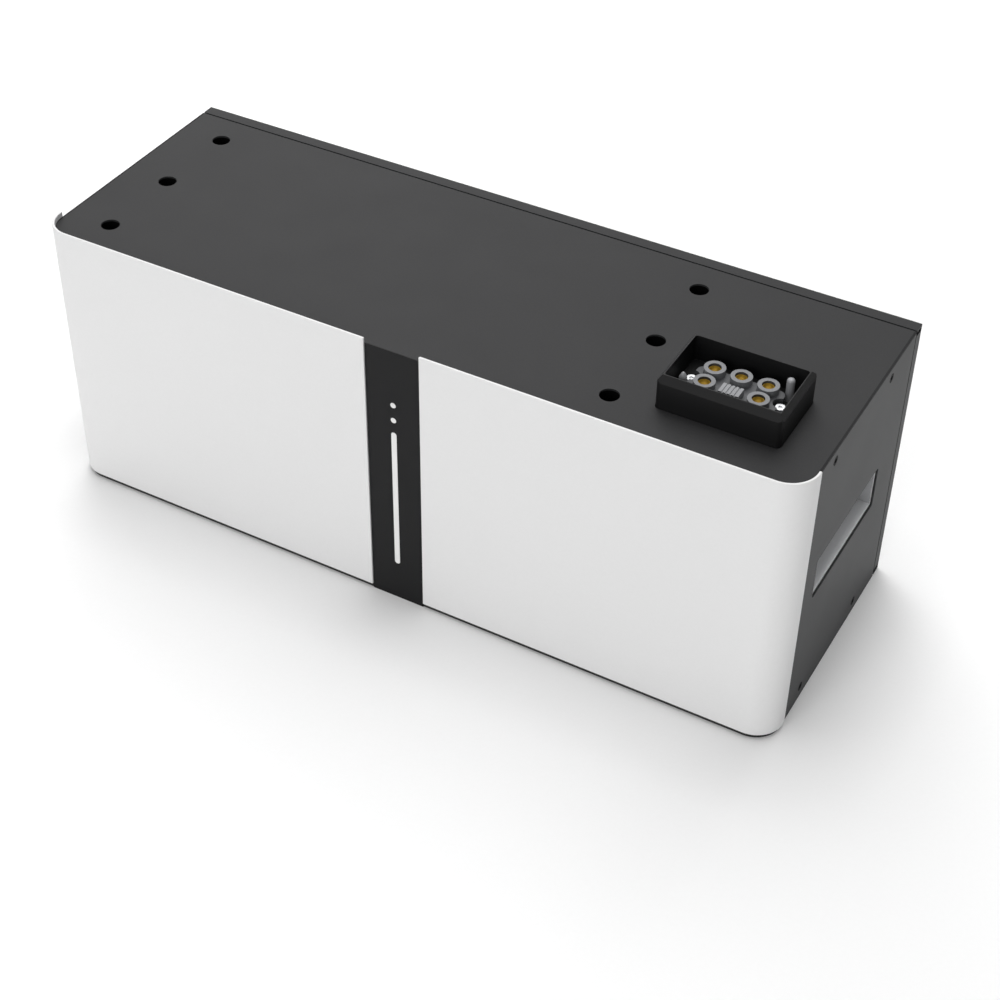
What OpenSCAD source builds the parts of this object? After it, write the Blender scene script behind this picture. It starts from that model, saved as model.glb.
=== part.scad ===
// Stackable battery module: a sheet-steel case with two white front covers,
// a lit indicator strip, scooped handle pockets in both ends and a blind-mate
// connector that stands out of the top and enters the module stacked above.
// Millimetres. X runs along the width, -Y is the front, Z is up.
// The origin is the middle of the footprint, on the floor.

/* [Body] */
// Width of the steel body
body_w = 600; // [585:1:680]
// Depth of the steel body without its front covers
body_d = 210; // [206:1:240]
// Height of the steel body
body_h = 228; // [224:1:260]
// Thickness of the steel sheet
sheet_t = 1.5; // [1:0.1:1.8]
// Outside radius of the rounded front corners
corner_r = 20; // [16:1:24]
// Gap at the seams between the outer panels
seam = 1.4; // [0.8:0.1:2]
// Gap between a flange and the panel outside it, and between panel edges
fold_gap = 0.2; // [0.1:0.05:0.4]
// Depth of the side flanges under the top panel and on the base tray
fold_d = 20; // [17:1:22]
// Overlap of the joggled strips that back each seam
lap = 10; // [6:1:14]
// Width of the rear cover's flange round the body
rear_flange = 9.5; // [7:0.1:12]
// Height of the bend reliefs in the rear cover's corners
relief_h = 3.5; // [2:0.1:5]

/* [Front covers] */
// Thickness of the white covers
cover_t = 2; // [1.5:0.1:3]
// Step of the covers above the top panel, and above the floor
cover_rise = 4; // [2:0.1:6]
// Reach of the covers round the corners, behind the body's front
cover_wrap = 22; // [21:0.5:25]
// Diameter of the snap posts behind the covers
post_d = 6; // [4:0.5:8]
// Clearance of a snap post in its hole
post_gap = 0.2; // [0.1:0.05:0.5]

/* [Indicator strip] */
// Width of the dark strip between the covers
strip_w = 43.4; // [42:0.1:50]
// Thickness of the strip in front of the body
strip_t = 0.8; // [0.6:0.1:1.4]
// Gap between the strip and each cover
strip_gap = 0.2; // [0.1:0.05:0.5]
// Width of the light bar and diameter of the two status dots
lens_w = 4.6; // [4:0.1:7]
// Length of the light bar
bar_len = 124; // [80:1:130]
// Height of the light bar's lower end
bar_z = 34; // [28:1:36]
// Distance from the light bar's upper end to the middle of the lower dot
dot_gap = 10.7; // [7:0.1:14]
// Distance between the status dots
dot_pitch = 13.2; // [9:0.1:14]
// Wall of the strip's light box
light_box_t = 1.2; // [0.8:0.1:1.6]

/* [Handle pockets] */
// Length of the hand opening
pocket_len = 113; // [100:1:122]
// Height of the hand opening
pocket_h = 35; // [33:0.5:42]
// Depth of the pocket behind the side panel's face
pocket_depth = 20; // [19:0.5:24]
// Height of the opening's lower edge
pocket_z = 99.5; // [90:0.5:120]
// Middle of the opening, forward of or behind the body's middle
pocket_y = 1; // [-8:0.5:8]
// Radius of the scoop that turns the floor into the back wall
scoop_r = 15; // [10:0.5:15.5]
// Radius of the opening's corners
pocket_corner_r = 3; // [2.5:0.1:5]
// Wall of the pocket
pocket_t = 1.2; // [1:0.1:1.6]
// Shadow gap between the pocket's lip and the opening
pocket_gap = 1; // [0.5:0.1:1.5]
// Width of the pocket's fixing flange
pocket_flange = 9; // [7:0.5:12]

/* [Locating holes] */
// Diameter of the locating holes, for the dowels between stacked modules
hole_d = 14; // [10:0.1:16]
// Distance of the front holes from the front of the body
hole_front = 30.2; // [28:0.1:36]
// Distance of the rear holes from the back of the body
hole_back = 39.2; // [36:0.1:42]
// Distance of the left holes from the left side
hole_left = 37.7; // [36:0.1:44]
// Distance of the right holes from the right side
hole_right = 150.7; // [148:0.1:152]
// Depth of the cups behind the holes
cup_depth = 12; // [8:0.5:12.5]
// Wall of the cups
cup_t = 1.5; // [1:0.1:2]

/* [Top connector] */
// Distance of the connector's middle from the right side
conn_right = 76; // [75:0.5:78]
// Distance of the connector's middle from the back of the body
conn_back = 147; // [142:0.5:148]
// Outside length of the housing, across the module
conn_w = 88.6; // [86:0.1:90]
// Outside width of the housing, front to back
conn_l = 59.5; // [58:0.1:62]
// Height of the housing's rim above the top panel
conn_h = 25; // [22:0.1:26]
// Wall of the housing, front and back
conn_t = 5; // [4:0.1:5.5]
// Wall of the housing's ends
conn_end_t = 3.8; // [3:0.1:4.5]
// Height of the sloping rim
bevel_h = 4.5; // [3:0.1:6]
// Width of the narrow land on top of the rim
rim_land = 0.7; // [0.5:0.1:1.5]
// Height of the housing's floor above the top panel
floor_h = 5.5; // [5:0.1:6]
// Pitch of the sockets across the module
socket_pitch = 19; // [18:0.1:19.4]
// Distance between the rear and the front row of sockets
row_pitch = 16.6; // [16:0.1:17.5]
// Outside diameter of a socket's barrel
barrel_d = 14.8; // [13:0.1:15.4]
// Height of the barrels above the top panel
barrel_h = 17; // [15:0.1:18]
// Bore of a barrel, round its contact
barrel_bore = 8.8; // [8.4:0.1:9.6]
// Diameter of a power contact
contact_d = 7.9; // [7:0.1:8]
// Height of the insert's deck above the top panel
deck_h = 12; // [11:0.1:13]
// Distance of the fixing screws from the connector's middle
screw_x = 31.5; // [31:0.1:32.5]
// Distance of the guide pins from the middle, across the module
pin_x = 31.7; // [31.5:0.1:33]
// Distance of the guide pins from the middle, front to back
pin_y = 14.2; // [14:0.1:16]
// Diameter of the guide pins
pin_d = 5.5; // [4.5:0.1:6]
// Height of the guide pins above the top panel
pin_h = 23; // [20:0.1:24]
// Width of the signal block
signal_w = 14.4; // [12:0.1:15.5]
// Depth of the signal block
signal_l = 10; // [8:0.1:10.6]

/* [Bottom connector] */
// Clearance round the housing of the module below
dock_gap = 1.7; // [1:0.1:2.5]
// Wall of the shroud in the bottom
shroud_t = 2.5; // [2:0.1:3]
// Width of the shroud's fixing flange
shroud_flange = 6; // [4:0.5:7]
// Diameter of the plug's sprung power pins
plug_pin_d = 5; // [4:0.1:5.1]

/* [Cells] */
// Thickness of a cell
cell_t = 25; // [22:0.1:26]
// Room in front of the cells, for the board
front_room = 53; // [50:1:60]
// Room behind the cells
rear_room = 6; // [5.5:0.5:12]
// Room above the cells, for busbars and boards
head_room = 35; // [32:1:50]
// Room between the pack and the bottom connector's flange, for the links
link_room = 21; // [19:0.5:24]
// Thickness of the pads between the cells
pad_t = 0.6; // [0.3:0.1:0.8]
// Thickness of the end plates
end_plate_t = 6; // [4:0.5:8]
// Height of the rails under the cells
rail_h = 15; // [14.5:0.5:17]
// Thickness of the straps round the cells
strap_t = 0.8; // [0.5:0.1:1]

/* [Hidden] */
$fn = 48;
cut = 1;

// Faces of the body
half_w = body_w / 2;
front_y = (cover_t - body_d) / 2;
back_y = front_y + body_d;
inner_x = half_w - sheet_t;
inner_front = front_y + sheet_t;
inner_back = back_y - sheet_t;
inner_top = body_h - sheet_t;
panel_x = inner_x - fold_gap;
rear_edge = back_y - rear_flange - seam;
side_front = front_y + corner_r + fold_gap;
fold_x = panel_x - sheet_t;
fold_clear = 1;
pocket_mid_y = front_y + body_d / 2 + pocket_y - cover_t / 2;

// Fixing screws
side_screw_y = [-50.5, 50.5];
side_screw_inset = 10.6;
screw_head_d = 7.2;
screw_d = 4;
screw_len = 9;
screw_gap = 0.2;
nut_d = 9;
nut_h = 3;
rear_screw_in = 7.5;
rear_screw_end = 41;
rear_tab = 15;
rear_tab_gap = 4;
rear_mid_in = 200;
rear_mid_x = [rear_mid_in - half_w, half_w - rear_mid_in];
rear_mid_z = 9.5;
rear_side_z = [rear_screw_end, body_h / 2, body_h - rear_screw_end];
screw_cone = 1.2;

// Locating holes
hole_x = [hole_left - half_w, half_w - hole_right];
hole_y0 = front_y + hole_front;
hole_y2 = back_y - hole_back;
hole_y = [hole_y0, (hole_y0 + hole_y2) / 2, hole_y2];
cup_bore = hole_d + 0.6;
cup_rim = 2.5;

// Cover posts
post_strip_in = 40;
post_side_in = 38;
post_z_in = 32;
post_x0 = strip_w / 2 + post_strip_in;
post_x2 = half_w - post_side_in;
post_x = [post_x0, (post_x0 + post_x2) / 2, post_x2];
post_z = [post_z_in, body_h - post_z_in];
barb_d = post_d + 1.6;
barb_tip = post_d - 1;
barb_h = 3;
barb_gap = 0.3;

// Indicator strip
box_w = strip_w - 10;
dot_z = bar_z + bar_len + dot_gap;
box_bottom = bar_z - 8;
box_top = dot_z + dot_pitch + 10;
box_depth = 6;
box_gap = 0.3;
lens_gap = 0.1;
lens_lip = 1.5;
lens_depth = 4;
board_t = 1.6;
led_pitch = 12;
led_w = 3;
led_h = 0.8;
plug_in = 7;
header_w = 14;
header_d = 8;
header_h = 6;

// Connector
conn_x = half_w - conn_right;
conn_y = back_y - conn_back;
in_w = conn_w - 2 * conn_end_t;
in_l = conn_l - 2 * conn_t;
conn_r = 4;
housing_gap = 0.3;
housing_flange_t = 2;
housing_flange = 7;
skirt_t = 2.5;
floor_t = 2.5;
ear_t = 2;
ear_r = 5.5;
deck_w = 62;
deck_front = 13;
deck_back = 12.5;
deck_r = 5;
shank_w = 50;
shank_l = 26;
shank_r = 2;
shank_d = 13;
shank_gap = 0.3;
sockets = [
    [-socket_pitch, row_pitch / 2], [0, row_pitch / 2], [socket_pitch, row_pitch / 2],
    [-socket_pitch, -row_pitch / 2], [socket_pitch, -row_pitch / 2]
];
guides = [[-pin_x, -pin_y], [pin_x, pin_y]];
contact_drop = 2;
dish_d = 5.6;
dish_h = 1.5;
tail_d = 6;
tail_len = 20;
screw_head_h = 1.8;
small_head_d = 7;
small_screw_d = 3;
small_screw_len = 7;
hex_h = 1.1;

// Bottom connector
dock_w = conn_w + 2 * dock_gap;
dock_l = conn_l + 2 * dock_gap;
dock_h = conn_h + dock_gap;
plug_face = barrel_h + 5;
plug_gap = 2.5;
plug_w = in_w - 2 * plug_gap;
plug_l = in_l - 2 * plug_gap;
bush_d = pin_d + 4;
bush_bore = pin_d + 0.6;
bush_len = 9;
plug_tip = 1.5;
plug_reach = plug_face - barrel_h + contact_drop + dish_h - plug_tip;
plug_shank_top = dock_h + shroud_t + 4;
plug_pin_top = plug_shank_top + 6;

// Cell pack; an even number of cells, so both free terminals are at the back
pack_clear = 3;
pack_x0 = pocket_depth + pocket_t + pack_clear - half_w;
cells_x0 = pack_x0 + end_plate_t + pad_t;
cell_step = cell_t + pad_t;
pack_limit = conn_x - dock_w / 2 - shroud_t - shroud_flange - link_room;
CELLS = 2 * floor((pack_limit - end_plate_t - cells_x0) / cell_step / 2);
pack_x1 = cells_x0 + CELLS * cell_step + end_plate_t;
pack_back = inner_back - rear_room;
pack_front = inner_front + front_room;
pack_mid = (pack_front + pack_back) / 2;
cell_z = sheet_t + rail_h;
cell_top = inner_top - head_room;
terminal_in = 24;
terminal_d = 12;
terminal_h = 3;
busbar_t = 2;
busbar_w = 20;
busbar_z = cell_top + terminal_h;
busbar_top = busbar_z + busbar_t;
vent_d = 12;
vent_depth = 0.8;
strap_w = 19;
strap_in = 24;
strap_z = [cell_z + strap_in, cell_top - strap_in - strap_w];
slot_edge = 45;
slot_h = 12;
rail_w = 18;
rail_t = 2;
rail_in = 14;
rail_y = [pack_front + rail_in, rear_edge - lap - 1.5 - rail_w];
cup_r = cup_bore / 2 + cup_t + cup_rim;
rail_x0 = hole_x[0] + cup_r + 2;
rail_x1 = min(pack_x1, hole_x[1] - cup_r - 2);

// Boards
sense_in = 4;
sense_l = 34;
chip_w = 14;
chip_h = 2;
chip_in = 42;
bms_in = 32;
bms_x0 = pack_x0 + bms_in;
bms_len = 200;
bms_x1 = bms_x0 + bms_len;
bms_gap = 20;
bms_y = pack_front - bms_gap;
bms_z0 = cell_z + 4;
bms_z1 = cell_top - 5;
standoff = 8;
standoff_d = 6;
post_in = 8;
bracket_t = 2;
foot_l = 18;
cap_d = 12;
cap_h = 12;
cap_pitch = 20;
cap_in = 40;
switch_w = 12;
switch_l = 16;
switch_t = 4;
switch_pitch = 18;
switch_in = 86;

// Contactors, fuse and links
fuse_len = 42.6;
fuse_cap = 12;
fuse_half = 11;
fuse_d = 22;
fuse_z = 15;
fuse_top = fuse_z + fuse_d;
fuse_y = rear_edge - lap - 1 - fuse_half;
contactor_x = [conn_x - socket_pitch, conn_x + socket_pitch];
contactor_w = 2 * socket_pitch - 4;
contactor_l = 40;
contactor_h = 58;
contactor_foot = 8;
foot_in = 6;
foot_h = 4;
contactor_y = fuse_y - fuse_half - 1 - contactor_foot - contactor_l;
fuse_x1 = contactor_x[0] + fuse_cap / 2;
fuse_x0 = fuse_x1 - fuse_len;
stud_in = 10;
stud_d = 10;
stud_h = 4;
front_studs = contactor_y + stud_in;
rear_studs = contactor_y + contactor_l - stud_in;
stud_z = sheet_t + contactor_h + stud_h;
riser_y = contactor_y - 6;
link_w = 16;
arm_w = 12;
link_t = 2;
link_gap = 10;
link_x = pack_x1 + link_gap;

// Pieces

// Shared shapes

module block(x0, x1, y0, y1, z0, z1) {
    translate([x0, y0, z0]) cube([x1 - x0, y1 - y0, z1 - z0]);
}

module at_z(z0, z1) {
    translate([0, 0, z0]) linear_extrude(z1 - z0) children();
}

// Outline drawn in X and Z, extruded from y0 to y1
module along_y(y0, y1) {
    translate([0, y1, 0]) rotate([90, 0, 0]) linear_extrude(y1 - y0) children();
}

// Outline drawn in Y and Z, extruded from x0 to x1
module along_x(x0, x1) {
    translate([x0, 0, 0]) rotate([90, 0, 90]) linear_extrude(x1 - x0) children();
}

module rod(x, y, z0, z1, d) {
    translate([x, y, z0]) cylinder(d = d, h = z1 - z0);
}

// Rod along Y
module rod_y(x, z, y0, y1, d) {
    translate([x, y0, z]) rotate([-90, 0, 0]) cylinder(d = d, h = y1 - y0);
}

// Rod along X
module rod_x(y, z, x0, x1, d) {
    translate([x0, y, z]) rotate([0, 90, 0]) cylinder(d = d, h = x1 - x0);
}

module round_rect(w, l, r) {
    square([w - 2 * r, l], center = true);
    square([w, l - 2 * r], center = true);
    for (x = [-1, 1], y = [-1, 1])
        translate([x * (w / 2 - r), y * (l / 2 - r)]) circle(r);
}

// Plan of the body from y0 back to y1, with rounded front corners
module front_rounded(half, y0, y1, r) {
    intersection() {
        translate([0, y0 + body_d / 2]) round_rect(2 * half, body_d, r);
        translate([-half, y0]) square([2 * half, y1 - y0]);
    }
}

module mirrored() {
    children();
    mirror([1, 0, 0]) children();
}

module at_holes() {
    for (x = hole_x, y = hole_y)
        translate([x, y, 0]) children();
}

module at_side_spot(p) {
    translate([half_w, p[0], p[1]]) rotate([0, 90, 0]) children();
}

module at_rear_spots() {
    for (x = rear_mid_x, z = [rear_mid_z, body_h - rear_mid_z])
        translate([x, back_y, z]) rotate([-90, 0, 0]) children();
    for (s = [-1, 1], z = rear_side_z)
        translate([s * (inner_x - rear_screw_in), back_y, z]) rotate([-90, 0, 0]) children();
}

// Clearance hole through one sheet for a screw with its head flush at z = 0
module countersunk_hole() {
    rod(0, 0, -sheet_t - cut, cut, screw_d + 2 * screw_gap);
    translate([0, 0, -screw_cone])
        cylinder(
            h = screw_cone + 0.01,
            d1 = screw_d + 2 * screw_gap, d2 = screw_head_d + 2 * screw_gap
        );
}

// Weld nut on the inner face of a rear flange
module rear_nut(x, z) {
    rod_y(x, z, inner_back - sheet_t - nut_h, inner_back - sheet_t / 2, nut_d);
}

module at_conn() {
    translate([conn_x, conn_y, 0]) children();
}

function cell_name(i) = str("cell_", i < 10 ? "0" : "", i);

// Side screw places on the right side: y, z
side_screw_spots = [for (y = side_screw_y, z = [side_screw_inset, body_h - side_screw_inset]) [y, z]];

// Steel case

// Web and welded side flanges that the base tray and the top panel share,
// drawn as the base tray; the web covers the edges of the side panels
module case_tray(hole_gap) {
    tab_x = inner_x - rear_tab - rear_tab_gap;
    difference() {
        union() {
            at_z(0, sheet_t)
                front_rounded(half_w, front_y, rear_edge, corner_r);
            mirrored()
                block(fold_x, panel_x, side_front, rear_edge, sheet_t / 2, fold_d);
            block(-tab_x, tab_x, rear_edge - lap, inner_back, sheet_t, 2 * sheet_t);
            block(-tab_x, tab_x, inner_back - sheet_t, inner_back, sheet_t, fold_d);
            for (p = side_screw_spots)
                if (p[1] < body_h / 2)
                    mirrored()
                        rod_x(p[0], p[1], fold_x - nut_h, panel_x - sheet_t / 2, nut_d);
            for (x = rear_mid_x)
                rear_nut(x, rear_mid_z);
        }
        at_holes()
            rod(0, 0, -cut, sheet_t + cut, hole_d);
        for (p = side_screw_spots)
            if (p[1] < body_h / 2)
                mirrored()
                    rod_x(p[0], p[1], fold_x - nut_h - cut, half_w, screw_d + screw_gap);
        for (x = rear_mid_x)
            rod_y(x, rear_mid_z, inner_back - 2 * sheet_t - nut_h, back_y, screw_d + screw_gap);
        at_conn()
            at_z(-cut, 3 * sheet_t)
                round_rect(hole_gap[0], hole_gap[1], hole_gap[2]);
    }
}

module base_tray() {
    color("#3c3d3f")
        case_tray([
            dock_w + 2 * shroud_t + 2 * housing_gap,
            dock_l + 2 * shroud_t + 2 * housing_gap,
            conn_r + dock_gap + shroud_t + housing_gap
        ]);
}

module top_panel() {
    color("#4b4c4e")
        translate([0, 0, body_h])
            mirror([0, 0, 1])
                case_tray([
                    conn_w + 2 * housing_gap,
                    conn_l + 2 * housing_gap,
                    conn_r + housing_gap
                ]);
}

// Plan of the right side panel: outer sheet, joggled strip and rear flange
module side_plan() {
    translate([inner_x, side_front]) square([sheet_t, rear_edge - side_front]);
    translate([inner_x - sheet_t, rear_edge - lap]) square([sheet_t, inner_back - rear_edge + lap]);
    translate([inner_x - rear_tab, inner_back - sheet_t]) square([rear_tab, sheet_t]);
}

module side_panel_right() {
    color("#58595b")
        difference() {
            union() {
                at_z(sheet_t + fold_gap, inner_top - fold_gap)
                    translate([inner_x, side_front]) square([sheet_t, rear_edge - side_front]);
                at_z(fold_d + fold_clear, body_h - fold_d - fold_clear)
                    side_plan();
                for (z = rear_side_z)
                    rear_nut(inner_x - rear_screw_in, z);
            }
            along_x(inner_x - cut, half_w + cut)
                translate([pocket_mid_y, pocket_z + pocket_h / 2])
                    round_rect(pocket_len, pocket_h, pocket_corner_r);
            for (p = side_screw_spots)
                at_side_spot(p) countersunk_hole();
            for (z = rear_side_z)
                rod_y(
                    inner_x - rear_screw_in, z,
                    inner_back - 2 * sheet_t - nut_h, back_y, screw_d + screw_gap
                );
        }
}

module side_panel_left() {
    mirror([1, 0, 0]) side_panel_right();
}

// Pan-shaped cover whose flange closes flush with the panels
module rear_cover() {
    flange_y = rear_edge + seam;
    color("#46474a")
        difference() {
            block(-half_w, half_w, flange_y, back_y, 0, body_h);
            block(-inner_x, inner_x, flange_y - cut, inner_back, sheet_t, inner_top);
            for (z = [sheet_t, inner_top - relief_h])
                mirrored()
                    block(inner_x - cut, half_w + cut, flange_y - cut, inner_back, z, z + relief_h);
            at_rear_spots() countersunk_hole();
        }
}

// Sheet behind the white covers, folded round both front corners
module front_panel() {
    color("#2e2f31")
        difference() {
            union() {
                at_z(sheet_t, inner_top)
                    difference() {
                        front_rounded(half_w, front_y, side_front - fold_gap, corner_r);
                        front_rounded(inner_x, inner_front, side_front + cut, corner_r - sheet_t);
                    }
                at_z(fold_d + fold_clear, body_h - fold_d - fold_clear)
                    mirrored()
                        translate([inner_x - sheet_t, side_front - lap / 2])
                            square([sheet_t, 1.5 * lap]);
            }
            for (x = post_x, z = post_z)
                mirrored()
                    rod_y(x, z, front_y - cut, inner_front + cut, post_d + 2 * post_gap);
            block(-box_w / 2, box_w / 2, front_y - cut, inner_front + cut, box_bottom, box_top);
        }
}

// Front covers

module front_cover_right() {
    color("#e4e5e4") {
        at_z(cover_rise, body_h + cover_rise)
            difference() {
                front_rounded(half_w + cover_t, front_y - cover_t, front_y + cover_wrap, corner_r + cover_t);
                front_rounded(half_w, front_y, front_y + cover_wrap + cut, corner_r);
                translate([-half_w - 2 * cover_t, front_y - 2 * cover_t])
                    square([half_w + 2 * cover_t + strip_w / 2 + strip_gap, body_d]);
            }
        for (x = post_x, z = post_z) {
            rod_y(x, z, front_y - cover_t / 2, inner_front + barb_h, barb_tip);
            rod_y(x, z, front_y - cover_t / 2, inner_front + barb_gap + barb_h / 2, post_d);
            translate([x, inner_front + barb_gap, z])
                rotate([-90, 0, 0])
                    cylinder(h = barb_h, d1 = barb_d, d2 = barb_tip);
        }
    }
}

module front_cover_left() {
    mirror([1, 0, 0]) front_cover_right();
}

// Indicator strip

module indicator_strip() {
    color("#26272a")
        difference() {
            union() {
                block(-strip_w / 2, strip_w / 2, front_y - strip_t, front_y, 0, body_h);
                difference() {
                    block(
                        box_gap - box_w / 2, box_w / 2 - box_gap,
                        front_y - strip_t / 2, front_y + box_depth,
                        box_bottom + box_gap, box_top - box_gap
                    );
                    block(
                        box_gap + light_box_t - box_w / 2, box_w / 2 - box_gap - light_box_t,
                        front_y, front_y + box_depth + cut,
                        box_bottom + box_gap + light_box_t, box_top - box_gap - light_box_t
                    );
                }
            }
            along_y(front_y - strip_t - cut, front_y + cut)
                bar_outline(lens_w);
            for (z = [dot_z, dot_z + dot_pitch])
                rod_y(0, z, front_y - strip_t - cut, front_y + cut, lens_w);
        }
}

// Slot with round ends in X and Z
module bar_outline(w) {
    grow = (w - lens_w) / 2;
    for (z = [bar_z + lens_w / 2, bar_z + bar_len - lens_w / 2])
        translate([0, z]) circle(d = w);
    translate([-w / 2, bar_z + lens_w / 2]) square([w, bar_len - lens_w]);
}

module light_bar_lens() {
    color("#f4f5f3") {
        along_y(front_y - strip_t, front_y + lens_lip / 2)
            bar_outline(lens_w - 2 * lens_gap);
        along_y(front_y, front_y + lens_lip)
            bar_outline(lens_w + 2 * lens_lip);
    }
}

module status_lenses() {
    color("#f4f5f3")
        for (z = [dot_z, dot_z + dot_pitch]) {
            rod_y(0, z, front_y - strip_t, front_y + lens_depth, lens_w - 2 * lens_gap);
            rod_y(0, z, front_y, front_y + lens_lip, lens_w + 2 * lens_lip);
        }
}

module led_board() {
    board_y = front_y + box_depth;
    color("#2f6b46") {
        block(
            box_gap - box_w / 2, box_w / 2 - box_gap, board_y, board_y + board_t,
            box_bottom + box_gap, box_top - box_gap
        );
        block(
            -header_w / 2, header_w / 2,
            board_y + board_t / 2, board_y + board_t + header_h,
            box_bottom + plug_in, box_bottom + plug_in + header_d
        );
    }
    color("#f2e9b0") {
        for (z = concat(
            [for (z = [bar_z + led_pitch / 2 : led_pitch : bar_z + bar_len]) z],
            [dot_z, dot_z + dot_pitch]
        ))
            block(
                -led_w / 2, led_w / 2, board_y - led_h, board_y + board_t / 2,
                z - led_w / 2, z + led_w / 2
            );
    }
}

// Handle pockets

// Hollow of the right pocket: two rounded profiles that meet in a mitre
module scoop(gap, depth) {
    x0 = half_w - depth;
    y0 = pocket_mid_y - pocket_len / 2 + gap;
    y1 = pocket_mid_y + pocket_len / 2 - gap;
    z0 = pocket_z + gap;
    z1 = pocket_z + pocket_h - gap;
    r = scoop_r - gap + pocket_gap + pocket_t;
    intersection() {
        along_y(y0, y1)
            difference() {
                translate([x0, z0]) square([depth, z1 - z0]);
                translate([x0 - cut, z0 - cut])
                    difference() {
                        square([r + cut, r + cut]);
                        translate([r + cut, r + cut]) circle(r);
                    }
            }
        at_z(z0, z1)
            difference() {
                translate([x0, y0]) square([depth, y1 - y0]);
                for (s = [0, 1])
                    translate([x0 - cut, s * (y1 + y0)])
                        mirror([0, s, 0])
                            translate([0, y0 - cut])
                                difference() {
                                    square([r + cut, r + cut]);
                                    translate([r + cut, r + cut]) circle(r);
                                }
            }
    }
}

module handle_pocket_right() {
    rib = 2;
    flange_x = inner_x - rib - pocket_t;
    flange_w = pocket_len + 2 * pocket_flange;
    flange_h = pocket_h + 2 * pocket_flange;
    color("#4f5052")
        difference() {
            union() {
                intersection() {
                    scoop(pocket_gap, pocket_depth + pocket_t);
                    block(0, inner_x, -body_d, body_d, 0, body_h);
                }
                translate([0, pocket_mid_y, pocket_z + pocket_h / 2])
                    along_x(flange_x, flange_x + pocket_t)
                        round_rect(flange_w, flange_h, pocket_corner_r);
                translate([0, pocket_mid_y, pocket_z + pocket_h / 2])
                    along_x(flange_x, inner_x)
                        difference() {
                            round_rect(flange_w, flange_h, pocket_corner_r);
                            round_rect(flange_w - 2 * rib, flange_h - 2 * rib, pocket_corner_r - rib / 2);
                        }
            }
            scoop(pocket_gap + pocket_t, pocket_depth);
        }
}

module handle_pocket_left() {
    mirror([1, 0, 0]) handle_pocket_right();
}

// Fasteners and locating cups

// Countersunk screw whose head closes flush at z = 0, pointing down
module countersunk_screw() {
    difference() {
        union() {
            translate([0, 0, -screw_cone])
                cylinder(h = screw_cone, d1 = screw_d, d2 = screw_head_d);
            rod(0, 0, -screw_len, -screw_cone / 2, screw_d);
        }
        translate([0, 0, -1])
            cylinder(d = 3.4, h = 2, $fn = 6);
    }
}

module side_screws() {
    color("#101113")
        mirrored()
            for (p = side_screw_spots)
                at_side_spot(p) countersunk_screw();
}

module rear_screws() {
    color("#101113")
        at_rear_spots() countersunk_screw();
}

// Six cups, drawn with their mouths at z = 0 and their floors above
module locating_cup() {
    difference() {
        union() {
            cylinder(d = cup_bore + 2 * cup_t, h = cup_depth + cup_t);
            cylinder(d = cup_bore + 2 * cup_t + 2 * cup_rim, h = cup_t);
        }
        translate([0, 0, -cut])
            cylinder(d = cup_bore, h = cup_depth + cut);
    }
}

module bottom_locating_cups() {
    color("#141516")
        at_holes()
            translate([0, 0, sheet_t]) locating_cup();
}

module top_locating_cups() {
    color("#141516")
        at_holes()
            translate([0, 0, inner_top]) mirror([0, 0, 1]) locating_cup();
}

// Top connector

// Chamfered section of the rim, w wide, from z0 up to the land on a wall
module rim_section(w, wall, z0) {
    run = wall - rim_land;
    polygon([
        [-w / 2, z0], [w / 2, z0],
        [w / 2, body_h + conn_h - bevel_h], [w / 2 - run, body_h + conn_h],
        [run - w / 2, body_h + conn_h], [-w / 2, body_h + conn_h - bevel_h]
    ]);
}

module connector_housing() {
    foot = inner_top - housing_flange_t;
    color("#1b1c1e")
        at_conn()
            difference() {
                union() {
                    intersection() {
                        at_z(foot, body_h + conn_h)
                            round_rect(conn_w, conn_l, conn_r);
                        along_y(-conn_l, conn_l)
                            rim_section(conn_w, conn_end_t, foot);
                        along_x(-conn_w, conn_w)
                            rim_section(conn_l, conn_t, foot);
                    }
                    at_z(foot, inner_top)
                        round_rect(conn_w + 2 * housing_flange, conn_l + 2 * housing_flange, conn_r);
                }
                at_z(body_h + floor_h, body_h + conn_h + cut)
                    round_rect(in_w, in_l, conn_r / 2);
                at_z(foot - cut, body_h + floor_h - floor_t)
                    round_rect(conn_w - 2 * skirt_t, conn_l - 2 * skirt_t, conn_r / 2);
                at_z(body_h, body_h + floor_h + cut)
                    round_rect(shank_w + 2 * shank_gap, shank_l + 2 * shank_gap, shank_r + shank_gap);
                for (s = [-1, 1])
                    rod(s * screw_x, 0, body_h, body_h + conn_h, small_screw_d + screw_gap);
            }
}

// Grey moulding with five barrels, standing on the housing's floor
module connector_insert() {
    base = body_h + floor_h;
    color("#7e7f83")
        at_conn()
            difference() {
                union() {
                    at_z(base, base + ear_t) {
                        square([2 * screw_x, 2 * ear_r], center = true);
                        for (s = [-1, 1])
                            translate([s * screw_x, 0]) circle(ear_r);
                    }
                    at_z(base, body_h + deck_h)
                        translate([0, (deck_back - deck_front) / 2])
                            round_rect(deck_w, deck_front + deck_back, deck_r);
                    for (p = sockets)
                        rod(p[0], p[1], base, body_h + barrel_h, barrel_d);
                    at_z(body_h - shank_d, base + ear_t)
                        round_rect(shank_w, shank_l, shank_r);
                }
                for (s = [-1, 1]) {
                    rod(s * screw_x, 0, base + ear_t, body_h + deck_h + cut, 2 * ear_r - 0.4);
                    rod(s * screw_x, 0, base - cut, base + ear_t + cut, small_screw_d + screw_gap);
                }
                for (p = sockets) {
                    rod(p[0], p[1], body_h + contact_drop, body_h + barrel_h + cut, barrel_bore);
                    rod(p[0], p[1], body_h - shank_d - cut, body_h + barrel_h, tail_d + screw_gap);
                }
            }
}

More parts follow.
